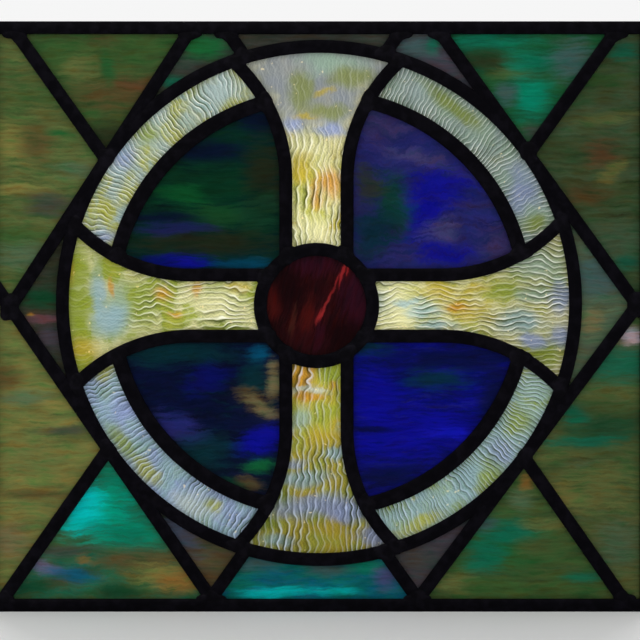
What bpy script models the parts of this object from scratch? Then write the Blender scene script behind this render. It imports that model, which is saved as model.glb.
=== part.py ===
"""Leaded stained glass window panel: a ringed cross in a roundel, set in a lattice of diamond quarries.

The panel is drawn flat, as a glazier's cartoon, in millimetres from the centre of the roundel: x to the
right and y up as seen from the front. Each object is then stood upright, so that the cartoon's y becomes
height and its front faces -Y. The origin is the middle of the panel's underside.
"""

import math

import bmesh
import bpy
import numpy as np
from mathutils import Matrix

MM = 0.001

# The roundel: the radius of its ring and hub, and the glass that shows between the ring and its inner ring
RING_RADIUS = 192.0
HUB_RADIUS = 42.0
ARC_SIGHT = 26.4

# The cross, which was set by hand a little off the centre of the ring
CROSS_SHIFT = -1.9
CROSS_RISE = -1.9
ARM_HALF_WIDTH = 22.9
FLARE_LENGTH = 61.4
FLARE_RADIUS = 120.0

# Glass that shows between the ring and the border
HEAD_GAP = 4.2
FOOT_GAP = 24.4
SIDE_GAP = 43.1

# The tips of the lattice at each side, from the border's inner edge and below the centre of the ring
LEFT_TIP_INSET = 9.0
LEFT_TIP_DROP = 3.3
RIGHT_TIP_INSET = 1.9
RIGHT_TIP_DROP = 1.7

# The four diagonals: how far from the corner of the border's inner edge each one ends, and how far right of
# the lattice's touch it passes
UPPER_LEFT_INSET = 14.1
UPPER_LEFT_SHIFT = 3.7
UPPER_RIGHT_INSET = 19.4
UPPER_RIGHT_SHIFT = 1.7
LOWER_LEFT_INSET = 3.9
LOWER_LEFT_SHIFT = 0.5
LOWER_RIGHT_INSET = 12.7
LOWER_RIGHT_SHIFT = -1.1

# The glass, and how it and the leads fit
PANE_THICKNESS = 3.4
PANE_CLEARANCE = 0.5
JOINT_GAP = 0.3

# The leads: H sections, and a U section for the border
LEAD_FACE = 9.8
HEAVY_FACE = 11.0
HEART = 1.6
LEAF_EDGE = 0.9
LEAF_CROWN = 1.5
CROWN_SHARE = 0.48
BLUNT_TIP = 1.0
BORDER_FACE = 9.5
BORDER_WEB = 1.6
BORDER_LEAF = 2.2

# How finely arcs are drawn
ARC_STEP = math.radians(6.5)
HUB_STEP = math.radians(12)

CHANNEL = PANE_THICKNESS + 2 * JOINT_GAP
LEAD_DEPTH = CHANNEL + 2 * LEAF_CROWN
BORDER_DEPTH = CHANNEL + 2 * BORDER_LEAF
BORDER_BITE = BORDER_FACE - BORDER_WEB
IN_LEAD = HEART / 2 + PANE_CLEARANCE
IN_BORDER = PANE_CLEARANCE - BORDER_BITE

INNER_RADIUS = RING_RADIUS - LEAD_FACE / 2 - ARC_SIGHT - HEAVY_FACE / 2
FLARE_START = INNER_RADIUS - FLARE_LENGTH
CROSS_CENTRE = np.array([CROSS_SHIFT, CROSS_RISE])

LEFT, RIGHT = -1, 1
DOWN, UP = -1, 1
CORNERS = {
    "upper_left": (LEFT, UP),
    "upper_right": (RIGHT, UP),
    "lower_left": (LEFT, DOWN),
    "lower_right": (RIGHT, DOWN),
}
SIDE_NAMES = {"left": LEFT, "right": RIGHT}
LEVEL_NAMES = {"head": UP, "foot": DOWN}
# At each side tip one of the crossing leads runs on to the border, and the other stops against it
RUNS_ON = {LEFT: DOWN, RIGHT: UP}

OUTER_EDGE = RING_RADIUS + LEAD_FACE / 2
SIGHT_X = OUTER_EDGE + SIDE_GAP
SIGHT_Y = {UP: OUTER_EDGE + HEAD_GAP, DOWN: -OUTER_EDGE - FOOT_GAP}
UNDERSIDE = SIGHT_Y[DOWN] - BORDER_FACE

COLOURS = {
    "lead": ((0.035, 0.033, 0.040), 0.55, 0.6),
    "ruby": ((0.30, 0.020, 0.022), 0.20, 0.0),
    "opal": ((0.66, 0.66, 0.42), 0.25, 0.0),
    "blue": ((0.030, 0.040, 0.34), 0.22, 0.0),
    "green": ((0.11, 0.16, 0.075), 0.22, 0.0),
}


# Plane geometry of the cartoon


def unit(vector):
    return np.asarray(vector, float) / np.hypot(*vector)


class Line:
    """A straight cut line through two points."""

    def __init__(self, start, end):
        self.start = np.asarray(start, float)
        self.along = unit(np.asarray(end, float) - self.start)

    def moved(self, inside, by):
        """The line shifted sideways by a distance, towards the inside point."""
        across = np.array([-self.along[1], self.along[0]])
        if (inside - self.start) @ across < 0:
            across = -across
        return Line(self.start + by * across, self.start + by * across + self.along)


class Circle:
    """A round cut line."""

    def __init__(self, centre, radius):
        self.centre = np.asarray(centre, float)
        self.radius = radius

    def moved(self, inside, by):
        """The circle shrunk or grown by a distance, towards the inside point."""
        within = np.hypot(*(inside - self.centre)) < self.radius
        return Circle(self.centre, self.radius - by if within else self.radius + by)

    def at(self, angle):
        return self.centre + self.radius * np.array([math.cos(angle), math.sin(angle)])

    def angle_of(self, point):
        return math.atan2(*(point - self.centre)[::-1])

    def around(self, step):
        """Points all the way around, evenly spaced by about the step."""
        count = math.ceil(math.tau / step)
        return [self.at(math.tau * i / count) for i in range(count)]


def meet(first, second, near):
    """Where two cut lines cross: of two places, the one nearer to a point. Lines that just miss touch."""
    if isinstance(first, Line) and isinstance(second, Line):
        along = np.column_stack([first.along, -second.along])
        return first.start + np.linalg.solve(along, second.start - first.start)[0] * first.along
    if isinstance(first, Circle) and isinstance(second, Circle):
        apart = second.centre - first.centre
        distance = np.hypot(*apart)
        reach = (distance**2 + first.radius**2 - second.radius**2) / (2 * distance)
        middle = first.centre + reach * unit(apart)
        along = unit([-apart[1], apart[0]])
        half_chord = math.sqrt(max(first.radius**2 - reach**2, 0))
    else:
        line, circle = (first, second) if isinstance(first, Line) else (second, first)
        middle = line.start + ((circle.centre - line.start) @ line.along) * line.along
        along = line.along
        gap = np.hypot(*(middle - circle.centre))
        half_chord = math.sqrt(max(circle.radius**2 - gap**2, 0))
    crossings = (middle - half_chord * along, middle + half_chord * along)
    return min(crossings, key=lambda point: np.hypot(*(point - near)))


def arc_points(circle, start, end):
    """Points on the circle from start the short way to end, both included."""
    first = circle.angle_of(start)
    turn = (circle.angle_of(end) - first + math.pi) % math.tau - math.pi
    count = max(1, math.ceil(abs(turn) / ARC_STEP))
    return [circle.at(first + turn * i / count) for i in range(count + 1)]


def outline(edges, inside):
    """The closed outline of a pane: its sides follow cut lines in turn, each moved inwards by an inset."""
    sides = [edge.moved(inside, inset) for edge, inset in edges]
    corners = [meet(sides[i - 1], side, inside) for i, side in enumerate(sides)]
    points = []
    for side, start, end in zip(sides, corners, corners[1:] + corners[:1]):
        if isinstance(side, Circle):
            points += arc_points(side, start, end)[:-1]
        else:
            points.append(start)
    return points


# The cartoon's cut lines

RING = Circle((0, 0), RING_RADIUS)
INNER_RING = Circle((0, 0), INNER_RADIUS)
HUB = Circle(CROSS_CENTRE, HUB_RADIUS)
LEVELS = {level: Line((-1, y), (1, y)) for level, y in SIGHT_Y.items()}
SIDES = {side: Line((side * SIGHT_X, -1), (side * SIGHT_X, 1)) for side in (LEFT, RIGHT)}
TIPS = {
    LEFT: np.array([LEFT_TIP_INSET - SIGHT_X, -LEFT_TIP_DROP]),
    RIGHT: np.array([SIGHT_X - RIGHT_TIP_INSET, -RIGHT_TIP_DROP]),
}


def touch_point(corner):
    """Where the lattice line from a side tip touches the ring, above or below."""
    side, level = corner
    turn = math.acos(RING_RADIUS / np.hypot(*TIPS[side]))
    return RING.at(RING.angle_of(TIPS[side]) + side * level * turn)


TOUCHES = {corner: touch_point(corner) for corner in CORNERS.values()}
TANGENTS = {corner: Line(TIPS[corner[0]], touch) for corner, touch in TOUCHES.items()}


def diagonal(corner, inset, shift):
    """The line that passes beside a touch, out to the head or foot near its corner of the panel."""
    side, level = corner
    return Line(TOUCHES[corner] + np.array([shift, 0]), (side * (SIGHT_X - inset), SIGHT_Y[level]))


DIAGONALS = {
    (LEFT, UP): diagonal((LEFT, UP), UPPER_LEFT_INSET, UPPER_LEFT_SHIFT),
    (RIGHT, UP): diagonal((RIGHT, UP), UPPER_RIGHT_INSET, UPPER_RIGHT_SHIFT),
    (LEFT, DOWN): diagonal((LEFT, DOWN), LOWER_LEFT_INSET, LOWER_LEFT_SHIFT),
    (RIGHT, DOWN): diagonal((RIGHT, DOWN), LOWER_RIGHT_INSET, LOWER_RIGHT_SHIFT),
}
# Each diagonal comes out again on the far side of the ring, as a stub beside the opposite touch
STUBS = {corner: DIAGONALS[-corner[0], -corner[1]] for corner in TOUCHES}
ROOTS = {corner: meet(line, RING, RING_RADIUS * unit(corner)) for corner, line in STUBS.items()}


class Arm:
    """One arm of the cross, from the hub to the ring, with its two straight edges and their flares."""

    def __init__(self, name, along):
        self.name = name
        self.along = np.array(along, float)
        self.across = np.array([along[1], -along[0]], float)
        self.middle = CROSS_CENTRE + (HUB_RADIUS + RING_RADIUS) / 2 * self.along

    def edge(self, hand):
        start = CROSS_CENTRE + hand * ARM_HALF_WIDTH * self.across
        return Line(start, start + self.along)

    def flare(self, hand):
        reach = hand * (ARM_HALF_WIDTH + FLARE_RADIUS)
        return Circle(CROSS_CENTRE + FLARE_START * self.along + reach * self.across, FLARE_RADIUS)

    def path(self, hand):
        """The centre line of the lead along one edge: straight from the hub, then flaring to the ring."""
        edge, flare = self.edge(hand), self.flare(hand)
        bend = edge.start + FLARE_START * self.along
        curve = arc_points(flare, bend, meet(flare, RING, self.middle))
        return [meet(edge, HUB, self.middle), *curve]


ARMS = {
    "head": Arm("head", (0, 1)),
    "foot": Arm("foot", (0, -1)),
    "left": Arm("left", (-1, 0)),
    "right": Arm("right", (1, 0)),
}


def arms_beside(corner):
    """The upright and the level arm that bound a quadrant, each with the hand of its edge on that side."""
    side, level = corner
    upright = ARMS["head" if level == UP else "foot"]
    level_arm = ARMS["left" if side == LEFT else "right"]
    return (upright, side * level), (level_arm, -side * level)


# Panes: each gives its cut lines in turn, with how far inside them the glass ends, and a point inside it


def leaded(*lines):
    return [(line, IN_LEAD) for line in lines]


def arm_pane(arm):
    right = (arm.flare(RIGHT), arm.edge(RIGHT))
    left = (arm.edge(LEFT), arm.flare(LEFT))
    return leaded(RING, *right, HUB, *left), arm.middle


def arc_pane(corner):
    (upright, a), (level_arm, b) = arms_beside(corner)
    inside = (RING_RADIUS + INNER_RADIUS) / 2 * unit(corner)
    return leaded(RING, upright.flare(a), INNER_RING, level_arm.flare(b)), inside


def quadrant_pane(corner):
    (upright, a), (level_arm, b) = arms_beside(corner)
    sides = (upright.flare(a), upright.edge(a), HUB, level_arm.edge(b), level_arm.flare(b))
    return leaded(INNER_RING, *sides), (INNER_RADIUS + HUB_RADIUS) / 2 * unit(corner)


def field_pane(corner):
    """The large quarry in a corner of the panel, cut short by the border."""
    side, level = corner
    edges = [(SIDES[side], IN_BORDER), (LEVELS[level], IN_BORDER)]
    edges += leaded(DIAGONALS[corner], TANGENTS[corner])
    if RUNS_ON[side] != level:
        edges += leaded(TANGENTS[side, -level])
    panel_corner = np.array([side * SIGHT_X, SIGHT_Y[level]])
    return edges, (panel_corner + 2 * TOUCHES[corner] + 2 * TIPS[side]) / 5


def triangle_pane(corner):
    """The quarry between a diagonal, the head or foot of the border, and the lattice line past its touch."""
    level, touch = LEVELS[corner[1]], TOUCHES[corner]
    line, tangent = DIAGONALS[corner], TANGENTS[corner]
    inside = (touch + meet(line, level, touch) + meet(tangent, level, touch)) / 3
    return [(line, IN_LEAD), (level, IN_BORDER), (tangent, IN_LEAD)], inside


def meet_short_of_border(corner, inside):
    """Whether the lattice line and the stub by a corner, as cut for a pane, meet short of the border."""
    tangent, stub = (line.moved(inside, IN_LEAD) for line in (TANGENTS[corner], STUBS[corner]))
    return abs(meet(tangent, stub, inside)[1]) < abs(SIGHT_Y[corner[1]]) - IN_BORDER


def spandrel_pane(corner):
    """The small pane between the ring, the lattice line past its touch, and a stub."""
    inside = OUTER_EDGE * unit(TOUCHES[corner] + ROOTS[corner])
    edges = leaded(TANGENTS[corner], STUBS[corner], RING)
    if not meet_short_of_border(corner, inside):
        edges.insert(1, (LEVELS[corner[1]], IN_BORDER))
    return edges, inside


def strip_pane(level):
    """The long pane between the ring and the border's head or foot, with a stub at each end."""
    inside = np.array([0, (level * OUTER_EDGE + SIGHT_Y[level]) / 2])
    ends = {}
    for side in (LEFT, RIGHT):
        ends[side] = leaded(STUBS[side, level])
        if meet_short_of_border((side, level), inside):
            ends[side] += leaded(TANGENTS[side, level])
    edges = [*ends[LEFT], (LEVELS[level], IN_BORDER), *reversed(ends[RIGHT]), *leaded(RING)]
    return edges, inside


def tip_pane(side):
    """The pane between the ring and the tip of the lattice at one side."""
    inside = (2 * TIPS[side] + RING.at(RING.angle_of(TIPS[side]))) / 3
    return leaded(TANGENTS[side, UP], TANGENTS[side, DOWN], RING), inside


# Objects


def collection(name):
    made = bpy.data.collections.new(name)
    bpy.context.scene.collection.children.link(made)
    return made


def material(name):
    colour, roughness, metallic = COLOURS[name]
    made = bpy.data.materials.new(name)
    made.use_nodes = True
    shader = made.node_tree.nodes["Principled BSDF"]
    shader.inputs["Base Color"].default_value = (*colour, 1)
    shader.inputs["Roughness"].default_value = roughness
    shader.inputs["Metallic"].default_value = metallic
    return made


def stand_up(obj):
    """Turns a flat object upright, at its height above the panel's underside, with its front to -Y."""
    obj.rotation_euler = (math.pi / 2, 0, 0)
    obj.location = (0, 0, -UNDERSIDE * MM)


def flat_curve(name, points, closed=True):
    curve = bpy.data.curves.new(name, "CURVE")
    curve.dimensions = "2D"
    spline = curve.splines.new("POLY")
    spline.points.add(len(points) - 1)
    for target, (x, y) in zip(spline.points, points):
        target.co = (x * MM, y * MM, 0, 1)
    spline.use_cyclic_u = closed
    return bpy.data.objects.new(name, curve)


def slab(name, points, finish):
    """A pane of even thickness, cut to a closed outline."""
    obj = flat_curve(name, points)
    obj.data.fill_mode = "BOTH"
    obj.data.extrude = PANE_THICKNESS / 2 * MM
    obj.data.materials.append(finish)
    stand_up(obj)
    PANEL.objects.link(obj)


def pane(name, shape, finish):
    slab("glass_" + name, outline(*shape), finish)


def lead_section(face):
    """The H section of a lead: two crowned leaves on a heart."""
    inner, edge, crown = CHANNEL / 2, CHANNEL / 2 + LEAF_EDGE, CHANNEL / 2 + LEAF_CROWN
    half, flat, heart = face / 2, face / 2 * CROWN_SHARE, HEART / 2
    quarter = [(heart, inner), (half, inner), (half, edge), (flat, crown)]
    front = quarter + [(-x, y) for x, y in reversed(quarter)]
    return flat_curve("section", front + [(-x, -y) for x, y in front])


def band_section(face):
    """A plain section that takes in a lead and the gap beside it, to cut what stops against that lead."""
    half, deep = face / 2 + JOINT_GAP, LEAD_DEPTH
    return flat_curve("section", [(half, -deep), (half, deep), (-half, deep), (-half, -deep)])


def swept(name, path, section, closed, into):
    """A section carried along a flat path, as a mesh with its caps welded on."""
    curve = flat_curve("path", path, closed)
    into.objects.link(curve)
    into.objects.link(section)
    curve.data.bevel_mode = "OBJECT"
    curve.data.bevel_object = section
    curve.data.use_fill_caps = not closed
    stand_up(curve)
    bpy.context.view_layer.update()
    evaluated = curve.evaluated_get(bpy.context.evaluated_depsgraph_get())
    mesh = bpy.data.meshes.new_from_object(evaluated)
    obj = bpy.data.objects.new(name, mesh)
    obj.matrix_world = curve.matrix_world
    into.objects.link(obj)
    for used in (curve, section):
        bpy.data.objects.remove(used)
    work = bmesh.new()
    work.from_mesh(mesh)
    bmesh.ops.remove_doubles(work, verts=work.verts, dist=1e-6)
    bmesh.ops.recalc_face_normals(work, faces=work.faces)
    work.to_mesh(mesh)
    work.free()
    mesh.shade_smooth()
    mesh.set_sharp_from_angle(angle=math.radians(20))
    return obj


def block(name, half_width, low, high, depth, into):
    """An upright box about the panel's middle plane, between two heights of the cartoon."""
    bpy.ops.mesh.primitive_cube_add(size=MM)
    obj = bpy.context.object
    obj.name = name
    for holder in obj.users_collection:
        holder.objects.unlink(obj)
    into.objects.link(obj)
    obj.data.transform(Matrix.Diagonal((2 * half_width, depth, high - low, 1)))
    obj.location = (0, 0, ((low + high) / 2 - UNDERSIDE) * MM)
    return obj


def as_cutter(obj):
    obj.hide_render = True
    obj.display_type = "WIRE"
    return obj


def cut(obj, *cutters, operation="DIFFERENCE", solver="EXACT"):
    for cutter in cutters:
        modifier = obj.modifiers.new(cutter.name, "BOOLEAN")
        modifier.operation = operation
        modifier.solver = solver
        modifier.object = cutter


def band(name, path, face=LEAD_FACE, closed=False):
    return as_cutter(swept("band_" + name, path, band_section(face), closed, CUTTERS))


def lead(name, path, face=LEAD_FACE, closed=False):
    obj = swept("lead_" + name, path, lead_section(face), closed, PANEL)
    obj.data.materials.append(FINISHES["lead"])
    return obj


# Assembly


def build_border():
    """A U section around the panel, mitred at its corners, that opens inwards on the glass."""
    out, bite = BORDER_FACE, BORDER_BITE
    obj = block("lead_border", SIGHT_X + out, UNDERSIDE, SIGHT_Y[UP] + out, BORDER_DEPTH, PANEL)
    obj.data.materials.append(FINISHES["lead"])
    through = block("opening", SIGHT_X, SIGHT_Y[DOWN], SIGHT_Y[UP], 2 * BORDER_DEPTH, CUTTERS)
    low, high = SIGHT_Y[DOWN] - bite, SIGHT_Y[UP] + bite
    groove = block("groove", SIGHT_X + bite, low, high, CHANNEL, CUTTERS)
    cut(obj, as_cutter(through), as_cutter(groove))


def build_roundel_leads():
    """The ring, the hub, the eight leads along the arms and the four arcs of the inner ring."""
    ring_path, hub_path = RING.around(ARC_STEP), HUB.around(HUB_STEP)
    lead("ring", ring_path, closed=True)
    lead("hub", hub_path, closed=True)
    ring_band = band("ring", ring_path, closed=True)
    hub_band = band("hub", hub_path, closed=True)
    for corner_name, corner in CORNERS.items():
        inside = INNER_RADIUS * unit(corner)
        edge_bands, ends = [], []
        for arm, hand in arms_beside(corner):
            name = f"arm_{arm.name}_{corner_name}"
            cut(lead(name, arm.path(hand)), hub_band, ring_band)
            edge_bands.append(band(name, arm.path(hand)))
            ends.append(meet(INNER_RING, arm.flare(hand), inside))
        arc = lead(f"arc_{corner_name}", arc_points(INNER_RING, *ends), HEAVY_FACE)
        cut(arc, *edge_bands)
    return ring_band


def build_lattice_leads(ring_band):
    """For each corner: the lattice line on both sides of its touch, the diagonal and the stub."""
    gap = JOINT_GAP
    low, high = SIGHT_Y[DOWN] + gap, SIGHT_Y[UP] - gap
    sight = as_cutter(block("sight", SIGHT_X - gap, low, high, 2 * LEAD_DEPTH, CUTTERS))
    blunt = math.sqrt((OUTER_EDGE + gap) ** 2 - (OUTER_EDGE - BLUNT_TIP) ** 2)
    beyond = 2 * LEAD_FACE

    def lattice_lead(name, start, end, *stops):
        # The EXACT solver loses the leads that graze the ring
        made = lead(name, [start, end])
        cut(made, sight, operation="INTERSECT", solver="MANIFOLD")
        cut(made, ring_band, *stops, solver="MANIFOLD")

    ends = {}
    bands = {}
    for name, (side, level) in CORNERS.items():
        line, touch = TANGENTS[side, level], TOUCHES[side, level]
        side_end = meet(line, SIDES[side], touch) - beyond * line.along
        level_end = meet(line, LEVELS[level], touch) + beyond * line.along
        ends[side, level] = (side_end, level_end)
        bands[side, level] = band(f"lattice_{name}", [side_end, level_end])
    for name, corner in CORNERS.items():
        side, level = corner
        line, touch = TANGENTS[corner], TOUCHES[corner]
        side_end, level_end = ends[corner]
        stops = () if RUNS_ON[side] == level else (bands[side, -level],)
        near_end = side_end if not stops else TIPS[side]
        lattice_lead(f"side_{name}", near_end, touch - blunt * line.along, *stops)
        lattice_lead(f"lattice_{name}", touch + blunt * line.along, level_end)
        root = meet(DIAGONALS[corner], RING, touch)
        tail = meet(DIAGONALS[corner], LEVELS[level], touch)
        lattice_lead(f"diagonal_{name}", root, tail + beyond * unit(tail - root))
        root = ROOTS[corner]
        tail = meet(STUBS[corner], LEVELS[level], root)
        if abs(meet(STUBS[corner], line, root)[1]) < abs(SIGHT_Y[level]) + LEAD_FACE:
            tail = meet(STUBS[corner], line, root)
            lattice_lead(f"stub_{name}", root, tail, bands[corner])
        else:
            lattice_lead(f"stub_{name}", root, tail + beyond * unit(tail - root))


def build_glass():
    """The glass: a ruby centre, opalescent arms and arcs, blue quadrants, and green quarries around."""
    rim = HUB.moved(CROSS_CENTRE, IN_LEAD)
    slab("glass_ruby", rim.around(HUB_STEP), FINISHES["ruby"])
    for name, arm in ARMS.items():
        pane(f"arm_{name}", arm_pane(arm), FINISHES["opal"])
    for name, corner in CORNERS.items():
        pane(f"arc_{name}", arc_pane(corner), FINISHES["opal"])
        pane(f"quadrant_{name}", quadrant_pane(corner), FINISHES["blue"])
        pane(f"field_{name}", field_pane(corner), FINISHES["green"])
        pane(f"triangle_{name}", triangle_pane(corner), FINISHES["green"])
        pane(f"spandrel_{name}", spandrel_pane(corner), FINISHES["green"])
    for name, level in LEVEL_NAMES.items():
        pane(f"strip_{name}", strip_pane(level), FINISHES["green"])
    for name, side in SIDE_NAMES.items():
        pane(f"tip_{name}", tip_pane(side), FINISHES["green"])


for leftover in list(bpy.data.objects):
    bpy.data.objects.remove(leftover)
PANEL = collection("stained_glass_panel")
CUTTERS = collection("cutters")
FINISHES = {name: material(name) for name in COLOURS}

build_glass()
build_border()
build_lattice_leads(build_roundel_leads())
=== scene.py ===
"""Leaded stained glass window panel: rippled and streaky glass in domed leads, lit from behind.

Distances are in millimetres on the cartoon, the flat drawing of the panel: x to the right and z up from
the centre of the roundel's ring, and y, the depth, towards the back. place() turns them into metres.
"""

import itertools
import math

import bpy
import numpy as np
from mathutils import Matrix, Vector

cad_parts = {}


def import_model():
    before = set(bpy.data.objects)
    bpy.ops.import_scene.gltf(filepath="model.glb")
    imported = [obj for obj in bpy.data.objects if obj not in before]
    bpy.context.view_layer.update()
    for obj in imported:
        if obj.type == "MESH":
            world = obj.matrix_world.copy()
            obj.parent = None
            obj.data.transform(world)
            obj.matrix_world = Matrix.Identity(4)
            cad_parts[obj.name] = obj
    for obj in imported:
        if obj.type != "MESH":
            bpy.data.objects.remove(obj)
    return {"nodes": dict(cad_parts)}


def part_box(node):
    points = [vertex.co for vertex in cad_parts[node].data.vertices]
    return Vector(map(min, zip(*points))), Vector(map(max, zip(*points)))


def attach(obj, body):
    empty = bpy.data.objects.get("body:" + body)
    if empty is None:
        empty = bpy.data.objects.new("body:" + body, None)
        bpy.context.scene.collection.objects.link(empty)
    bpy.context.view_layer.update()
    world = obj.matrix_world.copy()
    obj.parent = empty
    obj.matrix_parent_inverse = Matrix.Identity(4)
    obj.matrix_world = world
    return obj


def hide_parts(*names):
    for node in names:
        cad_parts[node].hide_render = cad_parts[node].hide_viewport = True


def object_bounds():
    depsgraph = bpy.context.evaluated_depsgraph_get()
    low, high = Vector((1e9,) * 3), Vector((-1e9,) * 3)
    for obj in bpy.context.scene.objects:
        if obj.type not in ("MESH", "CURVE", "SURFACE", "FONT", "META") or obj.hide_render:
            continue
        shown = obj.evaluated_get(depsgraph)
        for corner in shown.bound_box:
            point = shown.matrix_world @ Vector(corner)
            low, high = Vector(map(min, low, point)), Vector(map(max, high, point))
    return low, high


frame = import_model()
CAD_LOW, CAD_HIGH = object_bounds()

MM = 0.001


# The cartoon, measured from the frame


def middle(node):
    """The centre of a node's box, on the cartoon's axes but from the row's origin, in millimetres."""
    low, high = (np.asarray(corner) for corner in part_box(node))
    return (low + high)[[0, 2]] / 2 / MM


def width(node, axis=0):
    """How long a node's box is along an axis, in millimetres."""
    low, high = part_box(node)
    return (high[axis] - low[axis]) / MM


RING_CENTRE = middle("lead_ring")
LEAD_FACE = 9.8
HEAVY_FACE = 11.0
BORDER_FACE = 9.5
ARC_GLASS_WIDTH = 26.4
RING_RADIUS = (width("lead_ring") - LEAD_FACE) / 2
HUB_RADIUS = (width("lead_hub") - LEAD_FACE) / 2
INNER_RADIUS = RING_RADIUS - LEAD_FACE / 2 - ARC_GLASS_WIDTH - HEAVY_FACE / 2
CROSS_CENTRE = np.array([-1.9, -1.9])
ARM_HALF_WIDTH = 22.9
FLARE_RADIUS = 120.0
FLARE_LENGTH = 61.4
FLARE_START = INNER_RADIUS - FLARE_LENGTH
HALF_WIDTH = width("lead_border") / 2
HEAD = CAD_HIGH[2] / MM - RING_CENTRE[1]
FOOT = CAD_LOW[2] / MM - RING_CENTRE[1]
LEFT_TIP = np.array([-231.0, -3.3])
RIGHT_TIP = np.array([238.1, -1.7])
GLASS_THICKNESS = width("glass_ruby", 1)
CHANNEL = GLASS_THICKNESS + 0.6
LEAD_DEPTH = width("lead_ring", 1)
BORDER_DEPTH = width("lead_border", 1)

# How far inside the border each diagonal ends, and how far right of the touch it passes
DIAGONALS = {
    (-1, 1): (14.1, 3.7),
    (1, 1): (19.4, 1.7),
    (-1, -1): (3.9, 0.5),
    (1, -1): (12.7, -1.1),
}
NAMES = {(-1, 1): "upper_left", (1, 1): "upper_right", (-1, -1): "lower_left", (1, -1): "lower_right"}
TIPS = {-1: LEFT_TIP, 1: RIGHT_TIP}
ORIGIN, ACROSS, UP = np.zeros(2), np.array([1.0, 0.0]), np.array([0.0, 1.0])

# How far apart the points along a lead's path lie
PATH_STEP = 2.0


def place(points):
    """Cartoon millimetres (x, y, z) in an array of any shape, as metres in the row frame."""
    points = np.asarray(points, float)
    shift = np.array([RING_CENTRE[0], 0, RING_CENTRE[1]])
    return (points + shift) * MM


def unit(vector):
    return np.asarray(vector, float) / np.hypot(*vector)


def on_circle(centre, radius, angle):
    return np.asarray(centre) + radius * np.array([math.cos(angle), math.sin(angle)])


def line_meets_line(p, along_p, q, along_q):
    steps = np.linalg.solve(np.column_stack([along_p, -np.asarray(along_q)]), q - p)
    return p + steps[0] * np.asarray(along_p)


def line_meets_circle(p, along, centre, radius, near):
    """The crossing of a line and a circle that is nearer to a point."""
    foot = p + ((centre - p) @ along) * along
    half = math.sqrt(max(radius**2 - (foot - centre) @ (foot - centre), 0))
    return min((foot - half * along, foot + half * along), key=lambda c: np.hypot(*(c - near)))


def circle_meets_circle(a, radius_a, b, radius_b, near):
    """The crossing of two circles that is nearer to a point, square to the way between their centres."""
    apart = b - a
    distance = np.hypot(*apart)
    reach = (distance**2 + radius_a**2 - radius_b**2) / (2 * distance)
    across = np.array([-apart[1], apart[0]]) / distance
    return line_meets_circle(a + reach * apart / distance, across, a, radius_a, near)


def arc(centre, start, end):
    """Points along a circle about centre, the short way from start to end."""
    first, last = (math.atan2(*(p - centre)[::-1]) for p in (start, end))
    turn = (last - first + math.pi) % math.tau - math.pi
    radius = np.hypot(*(start - centre))
    angles = first + turn * np.linspace(0, 1, max(2, math.ceil(abs(turn) * radius / PATH_STEP) + 1))
    return centre + radius * np.column_stack([np.cos(angles), np.sin(angles)])


def straight(start, end):
    """Points along a straight line."""
    count = max(2, math.ceil(np.hypot(*(end - start)) / PATH_STEP) + 1)
    return start + np.linspace(0, 1, count)[:, None] * (end - start)


def whole_circle(centre, radius):
    angles = np.arange(0, math.tau, PATH_STEP / radius)
    return centre + radius * np.column_stack([np.cos(angles), np.sin(angles)])


def tangents(point, centre):
    """The two ways along a circle at one of its points."""
    radial = unit(point - centre)
    way = np.array([-radial[1], radial[0]])
    return [way, -way]


def touch(corner):
    """Where the lattice line from a side tip touches the ring: the tip's direction turned by acos(R / d)."""
    side, level = corner
    tip = TIPS[side]
    turn = math.acos(RING_RADIUS / np.hypot(*tip))
    return on_circle((0, 0), RING_RADIUS, math.atan2(tip[1], tip[0]) + side * level * turn)


TOUCHES = {corner: touch(corner) for corner in NAMES}


# Seeded noise, and meshes from grids

SHARP_ANGLE = 50


def noise(u, v, seed):
    """Smooth random heights from -1 to 1: a lattice of seeded values, blended by the curve 3t^2 - 2t^3."""
    table = np.random.default_rng(seed).uniform(-1, 1, (128, 128))
    i, j = np.floor(u).astype(int), np.floor(v).astype(int)
    s, t = u - i, v - j
    s, t = s * s * (3 - 2 * s), t * t * (3 - 2 * t)
    corner = [[table[(i + a) % 128, (j + b) % 128] for b in (0, 1)] for a in (0, 1)]
    low = corner[0][0] * (1 - s) + corner[1][0] * s
    high = corner[0][1] * (1 - s) + corner[1][1] * s
    return low * (1 - t) + high * t


def grid_faces(rows, columns, wrap_rows=False, wrap_columns=False):
    """Quads over a grid of vertices numbered row by row, wrapping where the surface closes on itself."""
    r = np.arange(rows if wrap_rows else rows - 1)[:, None]
    c = np.arange(columns if wrap_columns else columns - 1)[None, :]
    r2, c2 = (r + 1) % rows, (c + 1) % columns
    quads = (r * columns + c, r * columns + c2, r2 * columns + c2, r2 * columns + c)
    return np.stack([np.broadcast_to(q, (r.size, c.size)) for q in quads], -1).reshape(-1, 4)


def add(name, data):
    """An object in the scene, at the origin, for a mesh, a light or the camera."""
    obj = bpy.data.objects.new(name, data)
    bpy.context.scene.collection.objects.link(obj)
    return obj


def make_piece(name, points, faces, material, slot, *nodes, attributes=None):
    """A mesh piece that stands for CAD nodes. Each of its attributes is one number for each vertex."""
    mesh = bpy.data.meshes.new(name)
    mesh.from_pydata(place(points).reshape(-1, 3).tolist(), [], [list(f) for f in faces])
    mesh.validate()
    for key, values in (attributes or {}).items():
        layer = mesh.attributes.new(key, "FLOAT", "POINT")
        layer.data.foreach_set("value", np.asarray(values, np.float32).ravel())
    mesh.shade_smooth()
    mesh.set_sharp_from_angle(angle=math.radians(SHARP_ANGLE))
    mesh.materials.append(material)
    obj = add(name, mesh)
    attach(obj, "root")
    if nodes:
        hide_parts(*nodes)


# Leads: a section carried along a path

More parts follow.
